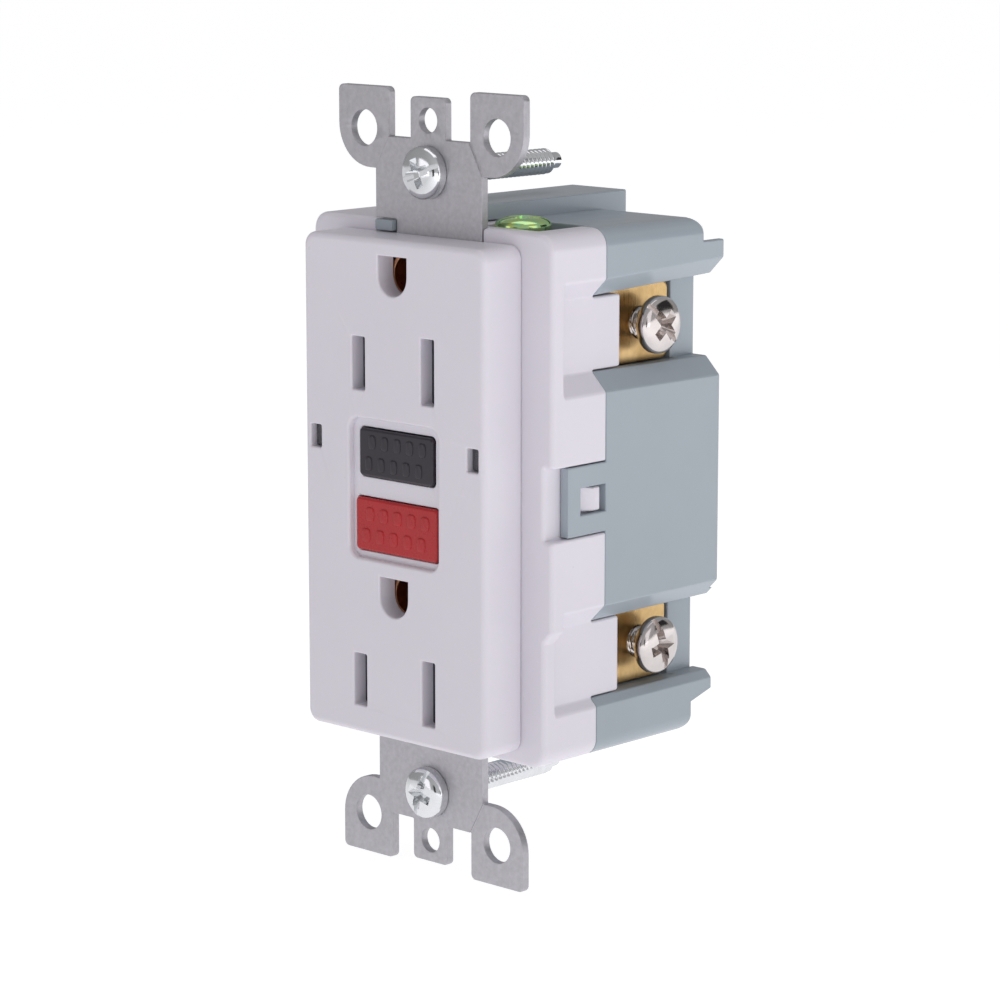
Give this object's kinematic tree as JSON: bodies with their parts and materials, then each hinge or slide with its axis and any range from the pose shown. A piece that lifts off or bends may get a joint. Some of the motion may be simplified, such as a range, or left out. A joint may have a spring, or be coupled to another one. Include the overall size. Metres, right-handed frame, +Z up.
{
  "type": "gfci outlet",
  "caption": "Decorator-style ground fault receptacle on a steel strap, with two shuttered outlets, TEST and RESET keys, side terminals and mounting screws.",
  "frame": {"origin": "centre of the device on the wall plane, which is the back face of the mounting strap", "axes": "+X right seen from the front, +Y into the wall, +Z up; the face points to -Y"},
  "size_m": [0.0438, 0.0407, 0.1048],
  "materials": {
    "white": "moulded thermoplastic, satin",
    "grey": "moulded glass-filled plastic, satin",
    "zinc": "zinc plated steel",
    "zinc_screw": "bright zinc plated steel",
    "steel": "spring steel",
    "brass": "rolled brass",
    "brass_screw": "plated brass",
    "nickel_screw": "nickel plated steel",
    "copper": "copper alloy",
    "green_screw": "green dyed plating",
    "black_key": "moulded plastic",
    "red_key": "moulded plastic",
    "shutter": "moulded plastic",
    "dark_plastic": "moulded plastic",
    "bobbin": "moulded nylon",
    "winding": "enamelled copper wire",
    "core": "wound steel cores",
    "board": "fibreglass board with solder mask",
    "varistor": "epoxy coated",
    "resistor": "coated resistor body",
    "clear": "smoky clear acrylic",
    "fibre": "pressed fibre"
  },
  "bodies": {
    "housing": {"face_cover": "white", "middle_housing": "white", "rear_housing": "grey", "mounting_strap": "zinc", "ground_contacts": "copper", "reset_spring": "steel", "test_arm_pin": "steel", "test_contact": "brass", "upper_shutter_spring": "steel", "lower_shutter_spring": "steel", "shutter_retainers": "dark_plastic", "hot_face_contact": "copper", "neutral_face_contact": "copper", "line_hot_contact": "copper", "line_neutral_contact": "copper", "lifter_springs": "steel", "solenoid_bobbin": "bobbin", "solenoid_coil": "winding", "solenoid_frame": "steel", "plunger_spring": "steel", "circuit_board": "board", "sensor_cores": "core", "sensor_case": "dark_plastic", "line_conductors": "copper", "varistor": "varistor", "capacitors": "dark_plastic", "resistors": "resistor", "control_chip": "dark_plastic", "indicator_leds": "clear", "light_pipes": "clear", "line_hot_terminal": "brass", "line_neutral_terminal": "brass", "load_hot_terminal": "brass", "load_neutral_terminal": "brass", "screw_retainers": "fibre", "case_screws": "zinc_screw"},
    "test_key": {"test_button": "black_key"},
    "test_lever": {"test_arm": "brass"},
    "reset_key": {"reset_button": "red_key", "reset_pin": "steel"},
    "lifter": {"lifter_block": "dark_plastic", "moving_contacts": "copper"},
    "latch": {"latch_plate": "steel"},
    "plunger": {"plunger": "steel"},
    "upper_shutter": {"upper_shutter": "shutter"},
    "lower_shutter": {"lower_shutter": "shutter"},
    "ground_washer": {"ground_washer": "nickel_screw"},
    "ground_screw": {"ground_screw": "green_screw"},
    "upper_mounting_screw": {"upper_mounting_screw": "zinc_screw"},
    "lower_mounting_screw": {"lower_mounting_screw": "zinc_screw"},
    "line_hot_clamp": {"line_hot_clamp": "brass"},
    "line_hot_screw": {"line_hot_screw": "brass_screw"},
    "line_neutral_clamp": {"line_neutral_clamp": "brass"},
    "line_neutral_screw": {"line_neutral_screw": "nickel_screw"},
    "load_hot_clamp": {"load_hot_clamp": "brass"},
    "load_hot_screw": {"load_hot_screw": "brass_screw"},
    "load_neutral_clamp": {"load_neutral_clamp": "brass"},
    "load_neutral_screw": {"load_neutral_screw": "nickel_screw"}
  },
  "joints": [
    {"name": "test_press", "type": "slide", "parent": "housing", "child": "test_key", "axis": [0, 1, 0], "range_m": [0, 0.0014], "stiffness_N_per_m": 900, "springref_m": -0.001},
    {"name": "test_lever_swing", "type": "hinge", "parent": "housing", "child": "test_lever", "pos_m": [-0.0086, 0.002, 0.005], "axis": [0, 0, 1], "range_deg": [0, 11.46]},
    {"name": "reset_press", "type": "slide", "parent": "housing", "child": "reset_key", "axis": [0, 1, 0], "range_m": [0, 0.0026], "stiffness_N_per_m": 900, "springref_m": -0.001, "deforming": ["reset_spring"]},
    {"name": "lifter_slide", "type": "slide", "parent": "housing", "child": "lifter", "axis": [0, -1, 0], "range_m": [0, 0.0012], "stiffness_N_per_m": 300, "springref_m": -0.001, "deforming": ["lifter_springs"]},
    {"name": "plunger_slide", "type": "slide", "parent": "housing", "child": "plunger", "axis": [0, 0, 1], "range_m": [-0.0015, 0], "stiffness_N_per_m": 200, "springref_m": 0.001, "deforming": ["plunger_spring"]},
    {"name": "latch_slide", "type": "slide", "parent": "lifter", "child": "latch", "axis": [0, 0, 1], "range_m": [-0.0015, 0]},
    {"name": "upper_shutter_slide", "type": "slide", "parent": "housing", "child": "upper_shutter", "axis": [1, 0, 0], "range_m": [0, 0.0032], "stiffness_N_per_m": 60, "springref_m": -0.001, "deforming": ["upper_shutter_spring"]},
    {"name": "lower_shutter_slide", "type": "slide", "parent": "housing", "child": "lower_shutter", "axis": [1, 0, 0], "range_m": [0, 0.0032], "stiffness_N_per_m": 60, "springref_m": -0.001, "deforming": ["lower_shutter_spring"]},
    {"name": "line_neutral_clamp_travel", "type": "slide", "parent": "housing", "child": "line_neutral_clamp", "axis": [-1, 0, 0], "range_m": [0, 0.002]},
    {"name": "line_neutral_screw_turn", "type": "hinge", "parent": "line_neutral_clamp", "child": "line_neutral_screw", "pos_m": [0.016, 0.0217, 0.0213], "axis": [-1, 0, 0], "range_deg": [0, 906.8]},
    {"name": "line_hot_clamp_travel", "type": "slide", "parent": "housing", "child": "line_hot_clamp", "axis": [1, 0, 0], "range_m": [0, 0.002]},
    {"name": "line_hot_screw_turn", "type": "hinge", "parent": "line_hot_clamp", "child": "line_hot_screw", "pos_m": [-0.016, 0.0217, 0.0213], "axis": [1, 0, 0], "range_deg": [0, 906.8]},
    {"name": "load_neutral_clamp_travel", "type": "slide", "parent": "housing", "child": "load_neutral_clamp", "axis": [-1, 0, 0], "range_m": [0, 0.002]},
    {"name": "load_neutral_screw_turn", "type": "hinge", "parent": "load_neutral_clamp", "child": "load_neutral_screw", "pos_m": [0.016, 0.0217, -0.022], "axis": [-1, 0, 0], "range_deg": [0, 906.8]},
    {"name": "load_hot_clamp_travel", "type": "slide", "parent": "housing", "child": "load_hot_clamp", "axis": [1, 0, 0], "range_m": [0, 0.002]},
    {"name": "load_hot_screw_turn", "type": "hinge", "parent": "load_hot_clamp", "child": "load_hot_screw", "pos_m": [-0.016, 0.0217, -0.022], "axis": [1, 0, 0], "range_deg": [0, 906.8]},
    {"name": "ground_washer_travel", "type": "slide", "parent": "housing", "child": "ground_washer", "axis": [0, 0, -1], "range_m": [0, 0.0019]},
    {"name": "ground_screw_turn", "type": "hinge", "parent": "ground_washer", "child": "ground_screw", "pos_m": [0.0108, 0.0054, 0.03], "axis": [0, 0, -1], "range_deg": [0, 861.46]},
    {"name": "upper_mounting_screw_spin", "type": "hinge", "parent": "housing", "child": "upper_mounting_screw", "pos_m": [0, 0, 0.04165], "axis": [0, 1, 0], "continuous": true},
    {"name": "lower_mounting_screw_spin", "type": "hinge", "parent": "housing", "child": "lower_mounting_screw", "pos_m": [0, 0, -0.04165], "axis": [0, 1, 0], "continuous": true}
  ],
  "couplings": [
    {"joint": "test_lever_swing", "follows": "test_press", "rad_per_m": 142.86},
    {"joint": "latch_slide", "follows": "plunger_slide", "ratio": 1},
    {"joint": "line_neutral_screw_turn", "follows": "line_neutral_clamp_travel", "rad_per_m": 7913.3},
    {"joint": "line_hot_screw_turn", "follows": "line_hot_clamp_travel", "rad_per_m": 7913.3},
    {"joint": "load_neutral_screw_turn", "follows": "load_neutral_clamp_travel", "rad_per_m": 7913.3},
    {"joint": "load_hot_screw_turn", "follows": "load_hot_clamp_travel", "rad_per_m": 7913.3},
    {"joint": "ground_screw_turn", "follows": "ground_washer_travel", "rad_per_m": 7913.3}
  ]
}
